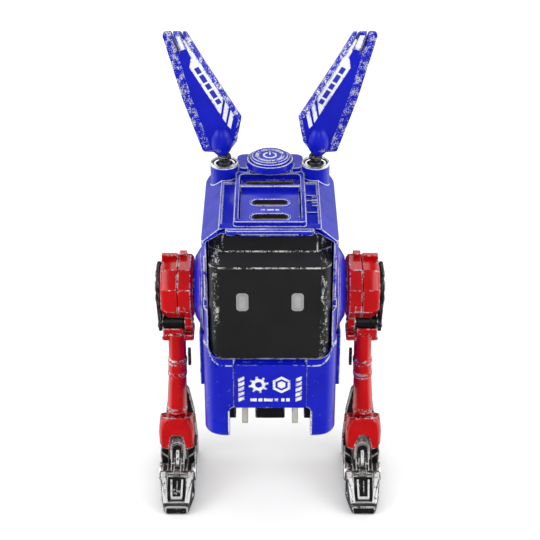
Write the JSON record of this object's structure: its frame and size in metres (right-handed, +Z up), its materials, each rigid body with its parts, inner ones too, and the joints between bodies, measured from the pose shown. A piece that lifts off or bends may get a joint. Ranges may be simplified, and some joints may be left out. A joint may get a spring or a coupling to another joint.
{
  "type": "posable robot usb charger",
  "caption": "Pocket wall charger styled as a standing robot: visor-faced body with upward sockets, folding mains blades, and posable ears, legs, feet and toes.",
  "frame": {"origin": "centre of the object's bounding box at floor level, between the feet", "axes": "+Z up, -Y towards the visor, +X to the right as seen when facing the visor"},
  "size_m": [0.059, 0.036, 0.123],
  "materials": {
    "body_blue": "saturated blue paint with chipped pale edges",
    "visor_black": "satin black with rubbed edges",
    "base_black": "matte black",
    "eye_grey": "translucent grey lens",
    "steel": "bright plated steel",
    "gold_contact": "gold-plated contact metal",
    "leg_red": "glossy red paint, lightly chipped",
    "worn_black": "black paint worn to bright metal on its edges",
    "board_green": "green circuit board",
    "ferrite": "yellow tape over a ferrite core"
  },
  "bodies": {
    "root": {"housing": "body_blue", "front_plate": "body_blue", "top_cover": "body_blue", "port_panel": "body_blue", "hip_boss_left": "body_blue", "hip_boss_right": "body_blue", "visor": "visor_black", "base_plate": "base_black", "capacitor": "base_black", "button_switch": "base_black", "eye_lens_left": "eye_grey", "eye_lens_right": "eye_grey", "base_screw_1": "steel", "base_screw_2": "steel", "usb_a_port": "steel", "hip_axle_left": "steel", "hip_axle_right": "steel", "usb_c_port_front": "gold_contact", "usb_c_port_rear": "gold_contact", "blade_contact_left": "gold_contact", "blade_contact_right": "gold_contact", "main_board": "board_green", "eye_board": "board_green", "transformer": "ferrite"},
    "power_button": {"power_button": "body_blue"},
    "plug_blades": {"blade_left": "steel", "blade_right": "steel", "blade_pivot_shaft": "base_black"},
    "ear_cup_left": {"ear_cup_left": "steel"},
    "ear_left": {"ear_stud_left": "worn_black", "ear_blade_left": "body_blue"},
    "hub_left": {"drum_inner_left": "leg_red", "drum_outer_left": "leg_red", "hub_cover_left": "base_black", "knee_pin_left": "steel"},
    "lower_leg_left": {"shank_left": "leg_red", "knee_barrel_left": "base_black", "shank_link_left": "base_black", "ankle_hood_left": "leg_red", "ankle_pin_left": "steel"},
    "foot_left": {"foot_frame_left": "worn_black", "heel_plate_left": "worn_black", "toe_pin_left": "steel"},
    "toe_left": {"toe_left": "worn_black"},
    "ear_cup_right": {"ear_cup_right": "steel"},
    "ear_right": {"ear_stud_right": "worn_black", "ear_blade_right": "body_blue"},
    "hub_right": {"drum_inner_right": "leg_red", "drum_outer_right": "leg_red", "hub_cover_right": "base_black", "knee_pin_right": "steel"},
    "lower_leg_right": {"shank_right": "leg_red", "knee_barrel_right": "base_black", "shank_link_right": "base_black", "ankle_hood_right": "leg_red", "ankle_pin_right": "steel"},
    "foot_right": {"foot_frame_right": "worn_black", "heel_plate_right": "worn_black", "toe_pin_right": "steel"},
    "toe_right": {"toe_right": "worn_black"}
  },
  "joints": [
    {"name": "button_press", "type": "slide", "parent": "root", "child": "power_button", "axis": [0, 0, -1], "range_m": [0, 0.0006], "stiffness_N_per_m": 600},
    {"name": "plug_fold", "type": "hinge", "parent": "root", "child": "plug_blades", "pos_m": [0, 0.002, 0.03085], "axis": [1, 0, 0], "range_deg": [0, 90]},
    {"name": "ear_swivel_left", "type": "hinge", "parent": "root", "child": "ear_cup_left", "pos_m": [-0.0113, 0.0112, 0.0872], "axis": [0, 0, 1], "range_deg": [-90, 90]},
    {"name": "ear_lean_left", "type": "hinge", "parent": "ear_cup_left", "child": "ear_left", "pos_m": [-0.0113, 0.0112, 0.0872], "axis": [0, 1, 0], "range_deg": [-10, 25]},
    {"name": "hip_left", "type": "hinge", "parent": "root", "child": "hub_left", "pos_m": [-0.0234, 0, 0.0594], "axis": [1, 0, 0], "range_deg": [-75, 75]},
    {"name": "knee_left", "type": "hinge", "parent": "hub_left", "child": "lower_leg_left", "pos_m": [-0.0245, -0.0005, 0.049], "axis": [1, 0, 0], "range_deg": [-50, 50]},
    {"name": "ankle_left", "type": "hinge", "parent": "lower_leg_left", "child": "foot_left", "pos_m": [-0.0246, -0.0025, 0.017], "axis": [1, 0, 0], "range_deg": [-25, 25]},
    {"name": "toe_left", "type": "hinge", "parent": "foot_left", "child": "toe_left", "pos_m": [-0.0246, -0.0075, 0.006], "axis": [1, 0, 0], "range_deg": [-35, 10]},
    {"name": "ear_swivel_right", "type": "hinge", "parent": "root", "child": "ear_cup_right", "pos_m": [0.0113, 0.0112, 0.0872], "axis": [0, 0, 1], "range_deg": [-90, 90]},
    {"name": "ear_lean_right", "type": "hinge", "parent": "ear_cup_right", "child": "ear_right", "pos_m": [0.0113, 0.0112, 0.0872], "axis": [0, 1, 0], "range_deg": [-25, 10]},
    {"name": "hip_right", "type": "hinge", "parent": "root", "child": "hub_right", "pos_m": [0.0234, 0, 0.0594], "axis": [1, 0, 0], "range_deg": [-75, 75]},
    {"name": "knee_right", "type": "hinge", "parent": "hub_right", "child": "lower_leg_right", "pos_m": [0.0245, -0.0005, 0.049], "axis": [1, 0, 0], "range_deg": [-50, 50]},
    {"name": "ankle_right", "type": "hinge", "parent": "lower_leg_right", "child": "foot_right", "pos_m": [0.0246, -0.0025, 0.017], "axis": [1, 0, 0], "range_deg": [-25, 25]},
    {"name": "toe_right", "type": "hinge", "parent": "foot_right", "child": "toe_right", "pos_m": [0.0246, -0.0075, 0.006], "axis": [1, 0, 0], "range_deg": [-35, 10]}
  ]
}
